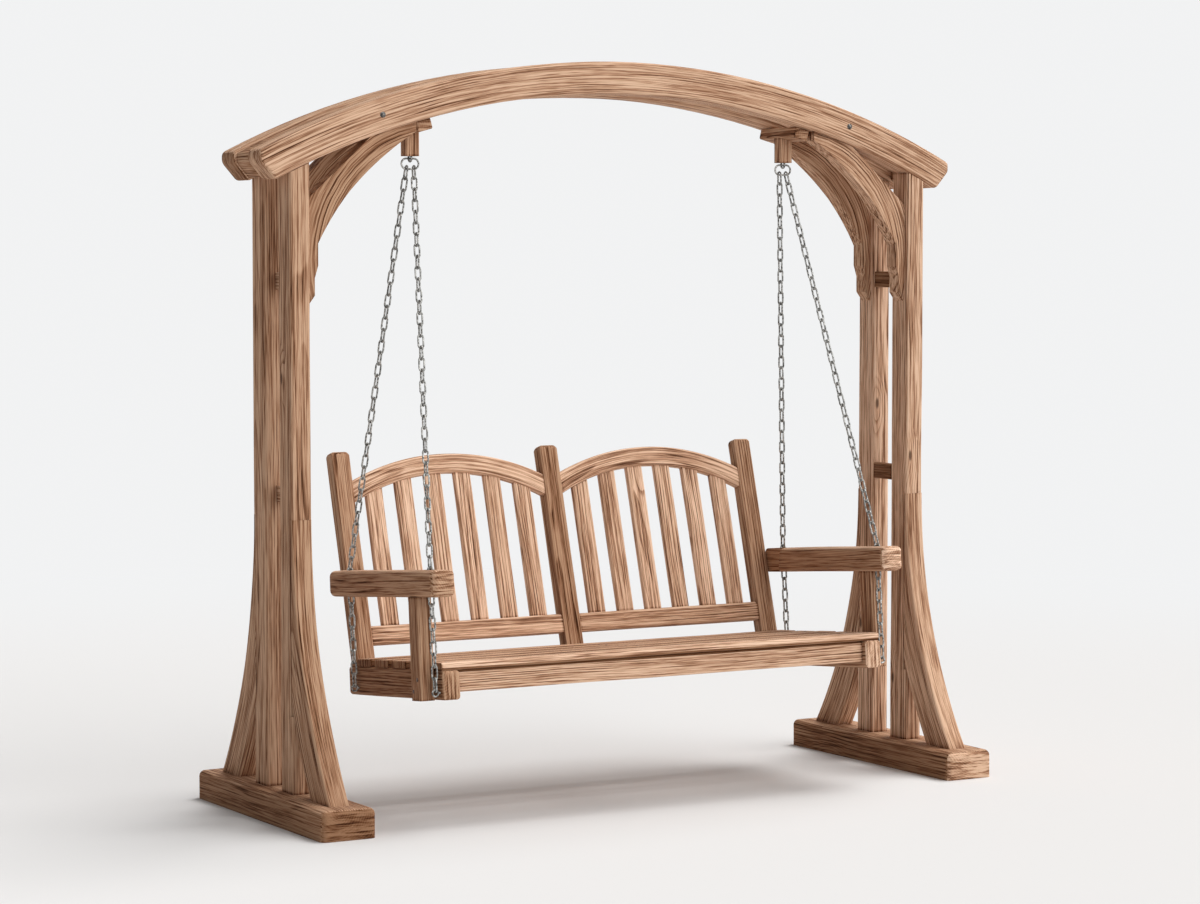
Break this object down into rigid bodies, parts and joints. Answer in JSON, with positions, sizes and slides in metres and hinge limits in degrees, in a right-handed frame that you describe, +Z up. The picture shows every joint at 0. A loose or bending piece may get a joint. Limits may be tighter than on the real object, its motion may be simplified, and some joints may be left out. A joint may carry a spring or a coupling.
{
  "type": "garden swing seat",
  "caption": "Timber garden swing: an arched stand on twin posts with flared legs, and a slatted bench with an arched back that hangs on chains and swings.",
  "frame": {"origin": "on the ground at the middle of the stand", "axes": "+X along the bench to the sitter's left-hand side as seen from the front (viewer's right), +Y to the back, +Z up"},
  "size_m": [2.376, 0.8816, 2.1958],
  "materials": {
    "cedar": "oiled, weathered smooth",
    "galvanised_steel": "dull galvanised"
  },
  "bodies": {
    "stand": {"back_beam": "cedar", "front_beam": "cedar", "hanger_eyes": "galvanised_steel", "left_back_brace": "cedar", "left_back_leg": "cedar", "left_back_post": "cedar", "left_beam_block": "cedar", "left_foot": "cedar", "left_front_brace": "cedar", "left_front_leg": "cedar", "left_front_post": "cedar", "left_hanger_block": "cedar", "left_hanger_rail": "cedar", "left_lower_spacer": "cedar", "left_upper_spacer": "cedar", "right_back_brace": "cedar", "right_back_leg": "cedar", "right_back_post": "cedar", "right_beam_block": "cedar", "right_foot": "cedar", "right_front_brace": "cedar", "right_front_leg": "cedar", "right_front_post": "cedar", "right_hanger_block": "cedar", "right_hanger_rail": "cedar", "right_lower_spacer": "cedar", "right_upper_spacer": "cedar"},
    "swing": {"back_rail": "cedar", "centre_bearer": "cedar", "centre_upright": "cedar", "chain_eyes": "galvanised_steel", "front_rail": "cedar", "front_seat_slat": "cedar", "hanger_rings": "galvanised_steel", "left_arm": "cedar", "left_arm_post": "cedar", "left_back_chain": "galvanised_steel", "left_back_slats": "cedar", "left_front_chain": "galvanised_steel", "left_lower_rail": "cedar", "left_side_rail": "cedar", "left_top_rail": "cedar", "left_upright": "cedar", "right_arm": "cedar", "right_arm_post": "cedar", "right_back_chain": "galvanised_steel", "right_back_slats": "cedar", "right_front_chain": "galvanised_steel", "right_lower_rail": "cedar", "right_side_rail": "cedar", "right_top_rail": "cedar", "right_upright": "cedar", "seat_slat_2": "cedar", "seat_slat_3": "cedar", "seat_slat_4": "cedar", "seat_slat_5": "cedar"}
  },
  "joints": [
    {"name": "swing_hinge", "type": "hinge", "parent": "stand", "child": "swing", "pos_m": [0, 0, 1.90139], "axis": [1, 0, 0], "range_deg": [-30, 30]}
  ]
}
